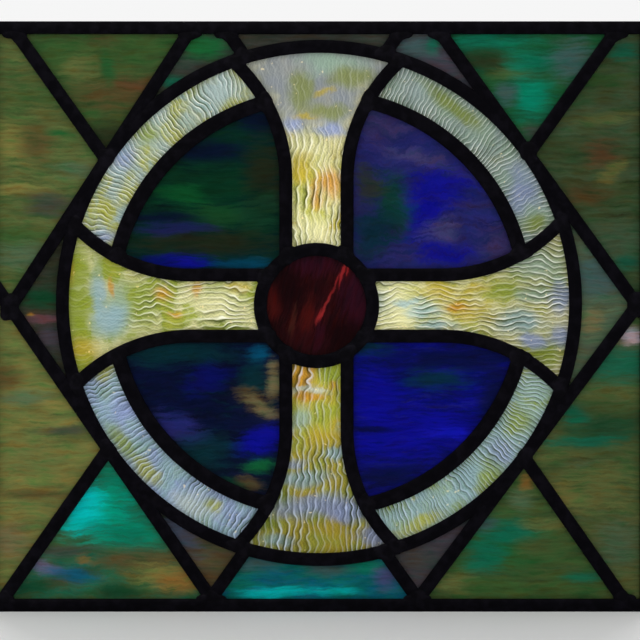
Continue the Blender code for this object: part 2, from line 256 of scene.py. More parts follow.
# Half the H's web, the thickness of a leaf's edge, and how far the edge is cut back underneath
HALF_WEB = 0.8
LEAF_EDGE = 0.55
LEAF_BEVEL = 0.15
LEAF_POINTS = 15
BORDER_WEB = 1.6

# The leaves' dents: their mean depth, and how wide the broad ones and the fine tool marks are
DENT = 0.09
DENT_WIDTH = 7
MARK_WIDTH = 2.6


def h_section(face):
    """The H of a lead as (across, depth). Each leaf is a dome with a thin edge:
    depth = inner + edge + rise * sqrt(1 - t^2), for t from -1 to 1 across the face."""
    half, inner = face / 2, CHANNEL / 2
    rise = LEAD_DEPTH / 2 - inner - LEAF_EDGE
    t = np.sin(np.linspace(-1, 1, LEAF_POINTS) * math.pi / 2)
    dome = np.column_stack([t * half, inner + LEAF_EDGE + rise * np.sqrt(1 - t**2)])
    under = [(half - LEAF_BEVEL, inner), (HALF_WEB, inner)]
    front = np.vstack([[(-x, y) for x, y in reversed(under)], dome, under])
    return np.vstack([front, -front])


def u_section():
    """The border's U as (inwards from its outer wall, depth): a flat leaf with rounded edges, front and back,
    and the web between them."""
    face, inner, deep = BORDER_FACE, CHANNEL / 2, BORDER_DEPTH / 2
    crown = [(0, deep - 0.5), (0.5, deep), (face - 2.6, deep), (face - 1.2, deep - 0.35)]
    lip = [(face - 0.3, deep - 1.0), (face, deep - 1.6), (face - LEAF_BEVEL, inner), (BORDER_WEB, inner)]
    front = np.array(crown + lip)
    return np.vstack([front, front[::-1] * (1, -1)])


def carry(path, section, closed):
    """The section at every point of the path, laid along its mitred normal, so that corners stay sharp."""
    if closed:
        ahead, behind = np.roll(path, -1, 0) - path, path - np.roll(path, 1, 0)
    else:
        steps = np.diff(path, axis=0)
        ahead, behind = np.vstack([steps, steps[-1:]]), np.vstack([steps[:1], steps])
    ahead /= np.linalg.norm(ahead, axis=1)[:, None]
    behind /= np.linalg.norm(behind, axis=1)[:, None]
    normal = ahead + behind
    normal = np.column_stack([-normal[:, 1], normal[:, 0]])
    normal /= np.linalg.norm(normal, axis=1)[:, None]
    mitre = 1 / np.clip(normal[:, 0] * -ahead[:, 1] + normal[:, 1] * ahead[:, 0], 0.3, 1)
    across = section[None, :, 0] * mitre[:, None]
    x = path[:, None, 0] + across * normal[:, None, 0]
    z = path[:, None, 1] + across * normal[:, None, 1]
    y = np.broadcast_to(-section[None, :, 1], x.shape)
    return np.stack([x, y, z], -1)


def dented(points, seed):
    """Shallow dents and tool marks on the leaves, DENT * (1 + noise) deep, but none in the channel."""
    x, y, z = np.moveaxis(points, -1, 0)
    broad = noise(x / DENT_WIDTH + 40, z / DENT_WIDTH + 40, seed)
    marks = broad + 0.5 * noise(x / MARK_WIDTH + 11, z / MARK_WIDTH + 7, seed + 1)
    outer = np.clip((np.abs(y) - CHANNEL / 2) / 0.8, 0, 1)
    y = y - np.sign(y) * outer * DENT * np.clip(1 + marks, 0, 2)
    return np.stack([x, y, z], -1)


def lead(name, path, section, closed=False):
    """A lead carried along its path, closed into a ring or capped at both ends."""
    points = dented(carry(path, section, closed), seed=len(name))
    rows, columns = points.shape[:2]
    faces = grid_faces(rows, columns, wrap_rows=closed, wrap_columns=True)[:, ::-1].tolist()
    if not closed:
        faces += [list(range(columns)), list(range(rows * columns - 1, (rows - 1) * columns - 1, -1))]
    make_piece("came_" + name, points, faces, MATERIALS["lead"], "lead", "lead_" + name)


ARMS = {"head": (0, 1), "foot": (0, -1), "left": (-1, 0), "right": (1, 0)}

# A place out along an arm, to tell the right crossing from the one behind the hub
ARM_MIDDLE = 115

# How wide the solder mound is, from its middle, at each kind of joint
MOUND_SIZES = {
    "hub": 5.4, "ring": 5.0, "arc": 5.2, "diagonal": 5.6,
    "stub": 5.2, "border": 4.4, "tip": 6.2, "corner": 3.4,
}
JOINTS = []


def joint(kind, point, *ways):
    """Notes a crossing for build_solder, with the ways in which leads run from it."""
    JOINTS.append((point, ways, MOUND_SIZES[kind]))


def arm_edge(arm, corner):
    """For an arm's edge beside a quadrant: its way, its start on the cross, and its flare's centre."""
    along = np.array(ARMS[arm], float)
    across = np.array(corner, float) - along * (along @ corner)
    start = CROSS_CENTRE + ARM_HALF_WIDTH * across
    return along, start, start + FLARE_START * along + FLARE_RADIUS * across


def build_roundel():
    """The two rings, and in each quadrant the edges of two arms and the arc between them."""
    section = h_section(LEAD_FACE)
    lead("ring", whole_circle(ORIGIN, RING_RADIUS), section, closed=True)
    lead("hub", whole_circle(CROSS_CENTRE, HUB_RADIUS), section, closed=True)
    for corner, corner_name in NAMES.items():
        ends = []
        for arm in ("head" if corner[1] > 0 else "foot", "left" if corner[0] < 0 else "right"):
            along, start, flare = arm_edge(arm, corner)
            near = CROSS_CENTRE + ARM_MIDDLE * along
            root = line_meets_circle(start, along, CROSS_CENTRE, HUB_RADIUS, near)
            bend = start + FLARE_START * along
            tail = circle_meets_circle(flare, FLARE_RADIUS, ORIGIN, RING_RADIUS, near)
            path = np.vstack([straight(root, bend)[:-1], arc(flare, bend, tail)])
            lead(f"arm_{arm}_{corner_name}", path, section)
            inside = INNER_RADIUS * unit(corner)
            ends.append(circle_meets_circle(flare, FLARE_RADIUS, ORIGIN, INNER_RADIUS, inside))
            joint("hub", root, along, *tangents(root, CROSS_CENTRE))
            joint("ring", tail, -unit(path[-1] - path[-2]), *tangents(tail, ORIGIN))
        lead(f"arc_{corner_name}", arc(ORIGIN, *ends), h_section(HEAVY_FACE))
        for end in ends:
            inward = max(tangents(end, ORIGIN), key=lambda way: way @ unit(corner))
            joint("arc", end, inward, unit(end), -unit(end))


SIGHT_X = HALF_WIDTH - BORDER_FACE
SIGHT_Z = {1: HEAD - BORDER_FACE, -1: FOOT + BORDER_FACE}

# How far a lead runs in under the border's leaf, and how far back from its end the solder lies
UNDER_BORDER = 3.0
SOLDER_INSET = 2.5


def run_to_border(name, start, along, level):
    """A lead from start to just under the border's leaf at the head (level 1) or the foot (level -1)."""
    tail = line_meets_line(start, along, (SIGHT_Z[level] + level * UNDER_BORDER) * UP, ACROSS)
    lead(name, straight(start, tail), h_section(LEAD_FACE))
    joint("border", tail - SOLDER_INSET * level * UP, -along, ACROSS, -ACROSS)


def build_lattice():
    """In each corner, a lattice lead from the side tip past the ring to the border, and a diagonal that runs
    on beyond the ring as the far corner's stub."""
    for (side, level), name in NAMES.items():
        point, tip = TOUCHES[side, level], TIPS[side]
        along = unit(point - tip)
        start = tip
        if side == level:
            start = line_meets_line(point, along, side * (SIGHT_X + UNDER_BORDER) * ACROSS, UP)
        lead(f"side_{name}", straight(start, point), h_section(LEAD_FACE))
        run_to_border(f"lattice_{name}", point, along, level)
        inset, shift = DIAGONALS[side, level]
        passing = point + shift * ACROSS
        way = unit(np.array([side * (SIGHT_X - inset), SIGHT_Z[level]]) - passing)
        root = line_meets_circle(passing, way, ORIGIN, RING_RADIUS, point)
        joint("diagonal", root, way, *tangents(root, ORIGIN))
        run_to_border(f"diagonal_{name}", root, way, level)
        opposite = (-side, -level)
        root = line_meets_circle(passing, way, ORIGIN, RING_RADIUS, RING_RADIUS * unit(opposite))
        joint("stub", root, -way, *tangents(root, ORIGIN))
        run_to_border(f"stub_{NAMES[opposite]}", root, -way, -level)
    for side, tip in TIPS.items():
        lines = [unit(TOUCHES[side, level] - tip) for level in (1, -1)]
        joint("tip", tip, *lines, -lines[0], -lines[1])


def build_border():
    """The border's path is its outer wall, anticlockwise, so that across points into the panel."""
    corners = np.array([(-HALF_WIDTH, FOOT), (HALF_WIDTH, FOOT), (HALF_WIDTH, HEAD), (-HALF_WIDTH, HEAD)])
    sides = [straight(a, b)[:-1] for a, b in zip(corners, np.roll(corners, -1, 0))]
    lead("border", np.vstack(sides), u_section(), closed=True)
    for corner in corners:
        inwards = -np.sign(corner)
        joint("corner", corner + inwards * BORDER_FACE / 2, inwards * ACROSS, inwards * UP)


# Solder: a low mound over each joint, with a tongue along every lead that meets there

MOUND_RINGS = 10
MOUND_SPOKES = 48
TONGUE = 4.6
TONGUE_FOCUS = 5.0
RIM_SHARE = 0.98
MOUND_HEIGHT = 0.42
MOUND_BASE = CHANNEL / 2 + 0.75
RIM_DROP = 0.9
UNDER_BORDER_FACE = 0.02


def mound(centre, ways, size, side, seed):
    """A solder mound on a polar grid: rim = size + tongue * exp(focus * (cos a - 1)) for each lead at angle a
    from a spoke, and height above the leaf = h * (1 - r^2)^0.6."""
    angle = np.linspace(0, math.tau, MOUND_SPOKES, endpoint=False)
    rim = np.full(MOUND_SPOKES, size * RIM_SHARE)
    for way in ways:
        off = angle - math.atan2(way[1], way[0])
        rim += TONGUE * np.exp(TONGUE_FOCUS * (np.cos(off) - 1))
    rim *= 1 + 0.10 * noise(np.cos(angle) * 2 + seed, np.sin(angle) * 2 + seed, seed)
    r = np.linspace(0, 1, MOUND_RINGS)[1:, None]
    x = centre[0] + r * rim * np.cos(angle)
    z = centre[1] + r * rim * np.sin(angle)
    lumps = 1 + 0.25 * noise(x / 3.5 + seed, z / 3.5, seed + 5)
    top = LEAD_DEPTH / 2 + MOUND_HEIGHT * lumps * (1 - r**2) ** 0.6 - RIM_DROP * r**6
    top = np.minimum(top, BORDER_DEPTH / 2 - UNDER_BORDER_FACE)
    peak = [[centre[0], side * float(top[0].mean()), centre[1]]]
    under = [[centre[0], side * MOUND_BASE, centre[1]]]
    skin = np.stack([x, side * top, z], -1).reshape(-1, 3)
    foot = np.stack([x[-1], np.full(MOUND_SPOKES, side * MOUND_BASE), z[-1]], -1)
    return np.vstack([peak, skin, foot, under])


def mound_faces():
    """One mound's faces: a fan at its peak, rings out to its rim, a wall, and a fan underneath."""
    spokes, rings = MOUND_SPOKES, MOUND_RINGS
    here = np.arange(spokes)
    after = (here + 1) % spokes
    last = 1 + rings * spokes
    top = [[0, 1 + b, 1 + a] for a, b in zip(here, after)]
    walls = (grid_faces(rings, spokes, wrap_columns=True) + 1).tolist()
    bottom = [[last, 1 + (rings - 1) * spokes + a, 1 + (rings - 1) * spokes + b] for a, b in zip(here, after)]
    return top + walls + bottom


def build_solder():
    for side, where in ((-1, "front"), (1, "back")):
        points, faces, start = [], [], 0
        one = mound_faces()
        for number, (centre, ways, size) in enumerate(JOINTS):
            made = mound(centre, ways, size, side, seed=number)
            points.append(made)
            faces += [[start + i for i in (f if side > 0 else f[::-1])] for f in one]
            start += len(made)
        make_piece(f"solder_{where}", np.vstack(points), faces, MATERIALS["solder"], "lead")


# Glass: a Coons patch over each pane's outline, with its relief on both faces

# The least turn that makes a corner, in degrees
CORNER_TURN = 20


def pane_outline(node):
    """A pane's outline in the frame, on the cartoon: the front edges of its side walls, end to end."""
    mesh = frame["nodes"][node].data
    points = np.empty(len(mesh.vertices) * 3)
    mesh.vertices.foreach_get("co", points)
    points = points.reshape(-1, 3) / MM
    front = points[:, 1] < 0
    following = {}
    for face in mesh.polygons:
        ring = list(face.vertices)
        for a, b, c in zip(ring, ring[1:] + ring[:1], ring[2:] + ring[:2]):
            if front[a] and front[b] and not front[c] and len(ring) == 3:
                following[tuple(np.round(points[a][[0, 2]], 2))] = tuple(np.round(points[b][[0, 2]], 2))
    start = here = next(iter(following))
    walk = []
    while True:
        walk.append(here)
        here = following[here]
        if here == start:
            break
    outline = np.array(walk) - RING_CENTRE
    turning = np.roll(outline, -1, 0) - outline
    area = np.sum(outline[:, 0] * turning[:, 1] - outline[:, 1] * turning[:, 0])
    return outline if area > 0 else outline[::-1]


def steps_along(points):
    """The length of each step along a run of points."""
    return np.linalg.norm(np.diff(points, axis=0), axis=1)


def four_corners(outline):
    """Where to part an outline into four sides: its sharpest turns, and the middle of its longest side if it
    has three."""
    ahead, behind = np.roll(outline, -1, 0) - outline, outline - np.roll(outline, 1, 0)
    turn = np.abs(np.arctan2(
        behind[:, 0] * ahead[:, 1] - behind[:, 1] * ahead[:, 0],
        (behind * ahead).sum(1),
    ))
    count = int((turn > math.radians(CORNER_TURN)).sum())
    if count > 3:
        return outline, sorted(np.argsort(-turn)[:4])
    if count < 3:
        return outline, [len(outline) * k // 4 for k in range(4)]
    sharp = sorted(np.argsort(-turn)[:3])
    runs = [(sharp[(k + 1) % 3] - sharp[k]) % len(outline) for k in range(3)]
    sides = [side_points(outline, sharp[k], sharp[(k + 1) % 3]) for k in range(3)]
    lengths = [steps_along(side).sum() for side in sides]
    longest = int(np.argmax(lengths))
    if runs[longest] > 1:
        return outline, sorted(sharp + [(sharp[longest] + runs[longest] // 2) % len(outline)])
    after = sharp[longest] + 1
    halfway = sides[longest].mean(0)
    outline = np.insert(outline, after, halfway, axis=0)
    return outline, sorted([s + (s >= after) for s in sharp] + [after])


def side_points(outline, start, end):
    rolled = np.roll(outline, -start, 0)
    return rolled[: (end - start) % len(outline) + 1] if end != start else rolled


def evenly(side, count):
    """Points evenly spaced by length along a run of straight pieces."""
    reach = np.concatenate([[0], np.cumsum(steps_along(side))])
    at = np.linspace(0, reach[-1], count)
    return np.column_stack([np.interp(at, reach, side[:, k]) for k in (0, 1)])


def coons(outline, long_step, short_step):
    """A Coons patch: the blend of two opposite sides, plus that of the other two, less that of the corners.
    Its points are long_step apart along the longer pair of sides, and short_step along the shorter."""
    outline, corners = four_corners(outline)
    sides = [side_points(outline, corners[k], corners[(k + 1) % 4]) for k in range(4)]
    lengths = [steps_along(side).sum() for side in sides]
    first, second = max(lengths[0], lengths[2]), max(lengths[1], lengths[3])
    steps = (long_step, short_step) if first > second else (short_step, long_step)
    columns = math.ceil(first / steps[0]) + 1
    rows = math.ceil(second / steps[1]) + 1
    bottom, right = evenly(sides[0], columns), evenly(sides[1], rows)
    top, left = evenly(sides[2], columns)[::-1], evenly(sides[3], rows)[::-1]
    u, v = np.linspace(0, 1, columns)[None, :, None], np.linspace(0, 1, rows)[:, None, None]
    across = (1 - v) * bottom[None] + v * top[None]
    along = (1 - u) * left[:, None] + u * right[:, None]
    corner = (1 - u) * ((1 - v) * bottom[0] + v * top[0]) + u * ((1 - v) * bottom[-1] + v * top[-1])
    return across + along - corner


def pane_faces(rows, columns):
    """The front grid, the back grid turned the other way, and the rim between their edges."""
    front = grid_faces(rows, columns)
    size = rows * columns
    back = front[:, ::-1] + size
    grid = np.arange(size).reshape(rows, columns)
    edge = np.concatenate([grid[0, :-1], grid[:-1, -1], grid[-1, :0:-1], grid[:0:-1, 0]])
    after = np.roll(edge, -1)
    rim = np.column_stack([edge, edge + size, after + size, after])
    return np.vstack([front, back, rim]).tolist()


def pane(node, material, slot, relief, long_step, short_step):
    """A pane of glass. relief(x, z) gives the front and back depths from the middle plane, and attributes."""
    flat = coons(pane_outline(node), long_step, short_step)
    x, z = flat[..., 0], flat[..., 1]
    front, back, attributes = relief(x, z)
    points = np.stack([np.stack([x, -front, z], -1), np.stack([x, back, z], -1)])
    doubled = {key: np.stack([value, value]) for key, value in attributes.items()}
    name = node.replace("glass_", "pane_")
    make_piece(name, points, pane_faces(*x.shape), material, slot, node, attributes=doubled)


# The ripples' mean depth and half height, and over what length they die away and by how much
RIPPLE_MEAN = 1.32
RIPPLE_RISE = 0.5
FADE_LENGTH = 26
FADE_SHARE = 0.88


def ripple_phase(across, along, pitch, seed):
    """Ripples counted across the glass, in turns: across / pitch, bent by slow and by quick noise."""
    slow = noise(along / 15 + 30, across / 19 + 9, seed)
    quick = noise(along / 4.5 + 3, across / 8, seed + 1)
    return across / pitch + 0.85 * slow + 0.34 * quick


def rippled(frame_of, pitch, fade, seed):
    """A relief of rounded ripples with sharp valleys: height = 2 |sin(pi * phase)|^0.7 - 1, times a strength
    that swells and fades. frame_of turns x, z into across and along. They die away where along is fade."""

    def relief(x, z):
        across, along = frame_of(x, z)
        phase = ripple_phase(across, along, pitch, seed)
        strength = np.clip(0.62 + 0.55 * noise(along / 16, across / 13 + 50, seed + 2), 0.12, 1)
        strength = strength * (1 - FADE_SHARE * np.clip((np.abs(along) - fade) / FADE_LENGTH, 0, 1))
        height = 2 * np.abs(np.sin(math.pi * phase)) ** 0.7 - 1
        back = np.full_like(x, GLASS_THICKNESS / 2 - 0.2) + 0.1 * noise(x / 9 + 5, z / 9, seed + 7)
        ways = {"phase": phase, "strength": strength, "across": across, "along": along}
        return RIPPLE_MEAN + RIPPLE_RISE * strength * height, back, ways

    return relief


def wavy(seed):
    """A relief of hand-rolled sheet glass: shallow swells on the front, and a nearly flat back."""

    def relief(x, z):
        swell = noise(x / 24 + 60, z / 17 + 60, seed) + 0.4 * noise(x / 9 + 3, z / 7, seed + 1)
        front = GLASS_THICKNESS / 2 - 0.35 + 0.2 * swell
        back = np.full_like(x, GLASS_THICKNESS / 2 - 0.15) + 0.08 * noise(x / 30 + 9, z / 30, seed + 2)
        return front, back, {}

    return relief


# Materials


class Tree:
    """A material's shader nodes, wired up by short calls."""

    def __init__(self, name):
        self.material = bpy.data.materials.new(name)
        self.material.use_nodes = True
        self.tree = self.material.node_tree
        self.tree.nodes.clear()
        self.output = self.node("OutputMaterial")

    def node(self, kind, inputs=None, **settings):
        made = self.tree.nodes.new("ShaderNode" + kind)
        for key, value in settings.items():
            setattr(made, key, value)
        for key, value in (inputs or {}).items():
            self.feed(made.inputs[key], value)
        return made

    def feed(self, socket, value):
        if isinstance(value, bpy.types.NodeSocket):
            self.tree.links.new(value, socket)
        elif isinstance(value, (tuple, list)) and len(value) == 3 and socket.type == "RGBA":
            socket.default_value = (*value, 1)
        else:
            socket.default_value = value

    def position(self):
        return self.node("TexCoord").outputs["Object"]

    def noise(self, vector, scale, detail=4, roughness=0.55, output="Fac"):
        made = self.node("TexNoise", {
            "Vector": vector, "Scale": scale, "Detail": detail, "Roughness": roughness,
        })
        return made.outputs[output]

    def mapping(self, vector, location=(0, 0, 0), turn=0.0, scale=(1, 1, 1), kind="POINT"):
        made = self.node("Mapping", {
            "Vector": vector, "Location": location, "Rotation": (0, turn, 0), "Scale": scale,
        }, vector_type=kind)
        return made.outputs[0]

    def range(self, value, low, high, to_low=0.0, to_high=1.0, kind="LINEAR"):
        made = self.node("MapRange", {
            "Value": value, "From Min": low, "From Max": high, "To Min": to_low, "To Max": to_high,
        }, interpolation_type=kind)
        return made.outputs[0]

    def ease(self, *values):
        """A range that starts and ends gently."""
        return self.range(*values, kind="SMOOTHSTEP")

    def math(self, operation, a, b=0.0):
        return self.node("Math", {0: a, 1: b}, operation=operation).outputs[0]

    def plus(self, a, b):
        return self.math("ADD", a, b)

    def times(self, a, b):
        return self.math("MULTIPLY", a, b)

    def tinted(self, colour, tint):
        return self.mix(1.0, colour, tint, "MULTIPLY")

    def mix(self, factor, a, b, blend="MIX"):
        made = self.node("Mix", data_type="RGBA", blend_type=blend)
        for socket, value in zip((made.inputs[0], made.inputs[6], made.inputs[7]), (factor, a, b)):
            self.feed(socket, value)
        return made.outputs[2]

    def ramp(self, factor, stops):
        made = self.node("ValToRGB", {"Fac": factor})
        elements = made.color_ramp.elements
        while len(elements) < len(stops):
            elements.new(0.5)
        for element, (position, colour) in zip(elements, stops):
            element.position = position
            element.color = (*colour, 1)
        return made.outputs[0]

    def grey(self, value):
        return self.node("CombineColor", {0: value, 1: value, 2: value}).outputs[0]

    def attribute(self, name):
        return self.node("Attribute", attribute_name=name).outputs["Fac"]

    def finish(self, shader):
        """Lays the shader on the surface, and gives the finished material."""
        self.feed(self.output.inputs["Surface"], shader.outputs[0])
        return self.material


def srgb(colour):
    """Linear light for a colour given as the 0 to 255 levels that the eye reads."""
    levels = np.asarray(colour) / 255
    return tuple(np.where(levels > 0.04, ((levels + 0.055) / 1.055) ** 2.4, levels / 12.92).tolist())


def lead_material(name, colour, lighter, roughness):
    """Darkened lead: a mottled patina, smoother and lighter where it has been rubbed."""
    t = Tree(name)
    where = t.position()
    cloud, grain = t.noise(where, 160, 5), t.noise(where, 1400, 3)
    tone = t.mix(t.ease(cloud, 0.4, 0.72), srgb(colour), srgb(lighter))
    rough = t.ease(cloud, 0.3, 0.75, roughness + 0.12, roughness - 0.1)
    height = t.plus(cloud, t.times(grain, 0.4))
    bump = t.node("Bump", {"Height": height, "Strength": 0.25, "Distance": 0.0004})
    shader = t.node("BsdfPrincipled", {
        "Base Color": tone, "Roughness": rough, "Normal": bump.outputs[0], "Specular IOR Level": 0.035,
    })
    return t.finish(shader)


def glass_material(t, colour, gloss, bump):
    """Glass lit from behind. Light crosses both its skins, so each lets through the colour's square root."""
    root = t.node("Gamma", {"Color": colour, "Gamma": 0.5})
    body = t.node("BsdfTranslucent", {"Color": root.outputs[0], "Normal": bump.outputs[0]})
    skin = t.node("BsdfPrincipled", {
        "Base Color": colour, "Roughness": gloss, "Normal": bump.outputs[0], "Specular IOR Level": 0.25,
    })
    mixed = t.node("MixShader", {0: SKIN_SHARE})
    t.feed(mixed.inputs[1], body.outputs[0])
    t.feed(mixed.inputs[2], skin.outputs[0])
    return t.finish(mixed)


def warped(t, strength, scale, seed):
    """Object coordinates pushed about by noise, so that edges and streaks wander like drawn glass."""
    where = t.position()
    push = t.noise(t.mapping(where, location=(seed, 0, -seed)), scale, 7, 0.66, "Color")
    centred = t.node("VectorMath", {0: push, 1: (0.5, 0.5, 0.5)}, operation="SUBTRACT")
    sized = t.node("VectorMath", {0: centred.outputs[0], "Scale": strength}, operation="SCALE")
    return t.node("VectorMath", {0: where, 1: sized.outputs[0]}, operation="ADD").outputs[0]


def patches(t, colour, vector, feather, spots):
    """Lays ellipses of colour over the glass: colour, x, z, half width, half height, and any turn in degrees.
    Each mask falls off from its centre, and the feather noise frays its edge, but adds nothing beyond it."""
    for tint, x, z, half_width, half_height, *turn in spots:
        reach = (SOFT_EDGE * half_width * MM, 1, SOFT_EDGE * half_height * MM)
        angle = math.radians(-turn[0]) if turn else 0.0
        local = t.mapping(vector, tuple(place([x, 0, z])), angle, reach, kind="TEXTURE")
        ball = t.node("TexGradient", {"Vector": local}, gradient_type="SPHERICAL").outputs["Fac"]
        frayed = t.times(feather, t.range(ball, 0.0, 0.22))
        mask = t.ease(t.plus(ball, frayed), 0.08, 0.78, 0.0, 0.88)
        colour = t.mix(mask, colour, srgb(tint))
    return colour


def even_ramp(t, value, colours):
    """A ramp that passes through the colours at even steps."""
    return t.ramp(value, [(k / (len(colours) - 1), srgb(c)) for k, c in enumerate(colours)])


def drawn_noise(t, vector, turn, lengths, detail=5):
    """Noise drawn out one way: lengths are its grain in millimetres along, through and across that way."""
    size = tuple(length * MM for length in lengths)
    return t.noise(t.mapping(vector, turn=turn, scale=size, kind="TEXTURE"), 1.0, detail, 0.62)


def streaky_glass(name, colours, spots, turn=0.0, swirl=0.012, seed=0.0, gain=1.0, grain=(70, 17, 12)):
    """Streaky sheet glass: a ramp of colours over drawn-out noise, mottled with the same colours on a finer
    grain, then patches of other colours with frayed edges, and faint threads."""
    t = Tree(name)
    angle = math.radians(-turn)
    flow = warped(t, swirl, 18, seed)
    apart = t.mapping(flow, location=(seed, seed, seed))
    streaks = drawn_noise(t, apart, angle, grain)
    mottle = drawn_noise(t, apart, angle, [length * 0.36 for length in grain])
    broad = even_ramp(t, t.range(streaks, 0.32, 0.68), colours)
    close = even_ramp(t, t.range(mottle, 0.34, 0.66), colours[::-1])
    colour = t.mix(0.42, broad, close)
    threads = drawn_noise(t, flow, angle, (26, 10, 2.4), 4)
    feather = t.range(t.plus(threads, mottle), 0.7, 1.3, -0.4, 0.4)
    colour = patches(t, colour, flow, feather, spots)
    shade = t.range(threads, 0.3, 0.72, 0.6, 1.42)
    colour = t.tinted(colour, t.grey(t.times(shade, SHEET_LIGHT * gain)))
    wisps = drawn_noise(t, apart, angle, (19, 10, 3.6), 4)
    hues = t.ramp(t.range(wisps, 0.34, 0.66), HUE_WISPS)
    colour = t.tinted(colour, hues)
    bump = t.node("Bump", {"Height": threads, "Strength": 0.12, "Distance": 0.0005})
    return glass_material(t, colour, 0.16, bump)


def ripple_glass(name, colours, spots, seed, near, far, glint_colour):
    """Rippled opalescent glass: clouds of colour, with painted shade in the troughs and painted glints beside
    the crests.
    near and far are how much light it lets through near the hub and far from it."""
    t = Tree(name)
    flow = warped(t, 0.020, 42, seed)
    clouds = t.noise(t.mapping(flow, location=(seed, 0, seed)), 46, 4, 0.6)
    colour = even_ramp(t, t.range(clouds, 0.32, 0.68), colours)
    feather = t.range(clouds, 0.3, 0.7, -0.3, 0.3)
    colour = patches(t, colour, flow, feather, spots)
    turn, strength = t.math("FRACT", t.attribute("phase")), t.attribute("strength")
    # Painted shade and highlight across each ripple: a dark valley line, shaded flanks and a white glint line
    ripple_shade = t.ramp(turn, PAINTED_RIPPLE_SHADE)
    line = t.ramp(turn, [(at, (level, level, level)) for at, level in PAINTED_GLINT_LINE])
    liveliness = t.range(strength, 0.0, 0.4, 0.45, 1.0)
    # Painted light and shade of the fine creases: the colour is made lighter and darker along them, and they
    # also drive the bump
    crease = t.times(t.range(crinkles(t, seed), 0.1, 0.9, -0.4, 0.36), liveliness)
    creased = t.plus(crease, 1.0)
    away = t.math("ABSOLUTE", t.attribute("along"))
    dim = t.ease(away, *DIM_FROM_TO, RIPPLE_LIGHT * near, RIPPLE_LIGHT * far)
    colour = t.tinted(colour, t.grey(t.times(creased, dim)))
    colour = t.mix(strength, colour, t.tinted(colour, ripple_shade))
    # Painted glints: white light laid on as colour beside the crests where the ripples are strong, broken up
    # by noise
    shine = t.noise(t.mapping(t.position(), location=(seed, 3, seed)), 75, 2)
    glint = t.times(t.times(line, strength), t.ease(shine, 0.34, 0.6, 0.3, 1.0))
    colour = t.mix(glint, colour, srgb(glint_colour))
    # Painted sparkles: rare bright points of light laid on as colour
    painted_sparkles = t.noise(t.mapping(t.position(), location=(3, seed, 3)), 260, 1)
    colour = t.mix(t.ease(painted_sparkles, 0.72, 0.8, 0.0, 0.7), colour, srgb(PAINTED_SPARKLE))
    bump = t.node("Bump", {"Height": creased, "Strength": 0.15, "Distance": 0.0003})
    return glass_material(t, colour, 0.12, bump)


def crinkles(t, seed):
    """Fine creases between the ripples: bands across them, read from the pane's own ways across and along."""
    across, along = t.attribute("across"), t.attribute("along")
    ways = t.node("CombineXYZ", {0: across, 1: t.times(along, 0.42), 2: seed}).outputs[0]
    bent = t.noise(t.mapping(ways, scale=(0.10, 0.45, 1)), 1.0, 3, 0.55)
    lift = t.times(t.range(bent, 0.25, 0.75, -1.0, 1.0), CRINKLE_LIFT)
    phase = t.times(t.plus(across, lift), math.tau / CRINKLE_PITCH)
    rough = t.noise(t.mapping(ways, scale=(0.9, 0.22, 1)), 1.0, 3, 0.6)
    waves = t.times(t.math("SINE", phase), 0.3)
    return t.plus(t.plus(waves, t.range(rough, 0.25, 0.75, -0.35, 0.35)), 0.5)


MATERIALS = {
    "lead": lead_material("darkened lead", (4, 3, 7), (12, 10, 17), 0.5),
    "solder": lead_material("solder", (6, 5, 9), (17, 15, 22), 0.44),
}


# The colours of the glass, as the eye reads them against the light

# The skin's share of the light, and how much the streaky and the rippled sheets let through
SKIN_SHARE = 0.15
SHEET_LIGHT = 0.68
RIPPLE_LIGHT = 0.52

# Where along an arm its light begins to dim, and where it is dimmest, in millimetres
DIM_FROM_TO = (60, 170)

# How much wider a patch's ellipse is drawn, because its edge fades
SOFT_EDGE = 1.75

# What the fine wisps do to the light: greener at one end, warmer at the other
HUE_WISPS = [(0.0, (0.4, 0.92, 0.68)), (0.5, (0.88, 0.97, 0.94)), (1.0, (0.98, 0.7, 0.48))]

# The fine creases: how far apart they are and how far they bend, in millimetres
CRINKLE_PITCH = 2.3
CRINKLE_LIFT = 2.4

# The painted white glints beside the crests, cooler on some sheets, and the colour of the painted bright
# sparkles
GLINT = (252, 253, 248)
COOL_GLINT = (204, 217, 246)
PAINTED_SPARKLE = (255, 226, 168)

# Across one ripple, from valley to valley: the painted shade, darkest in the valley, and where the painted
# white glint line lies
PAINTED_VALLEY_SHADE = (0.05, 0.07, 0.02)
PAINTED_RIPPLE_SHADE = [
    (0.0, PAINTED_VALLEY_SHADE), (0.12, PAINTED_VALLEY_SHADE), (0.19, (0.78, 0.82, 0.66)), (0.4, (1.0, 1.0, 1.0)),
    (0.7, (0.86, 0.9, 0.78)), (0.86, (0.4, 0.45, 0.3)), (1.0, PAINTED_VALLEY_SHADE),
]
PAINTED_GLINT_LINE = [(0.0, 0.0), (0.13, 0.0), (0.2, 1.0), (0.3, 0.95), (0.43, 0.0), (1.0, 0.0)]

INK = (3, 7, 26)
NAVY = (6, 12, 52)
DEEP_BLUE = (6, 9, 86)
ROYAL = (9, 8, 142)
BRIGHT_BLUE = (18, 18, 182)
INDIGO = (36, 36, 106)
PLUM = (58, 46, 92)
LILAC_GREY = (70, 62, 108)
PEACOCK = (2, 78, 116)
DEEP_TEAL = (4, 40, 48)
BOTTLE = (8, 58, 36)
EMERALD = (14, 92, 46)
LEAF = (30, 84, 44)
FOREST = (22, 66, 44)
TEAL = (8, 98, 78)
LAGOON = (2, 118, 96)
TURQUOISE = (0, 152, 132)
CYAN = (0, 176, 184)
DARK_OLIVE = (40, 43, 26)
OLIVE = (68, 80, 44)
MOSS = (56, 84, 42)
SAGE = (78, 96, 72)
KHAKI = (98, 102, 58)
STRAW = (122, 112, 60)
UMBER = (86, 68, 40)
RUST = (98, 64, 42)
SMOKE = (60, 58, 56)
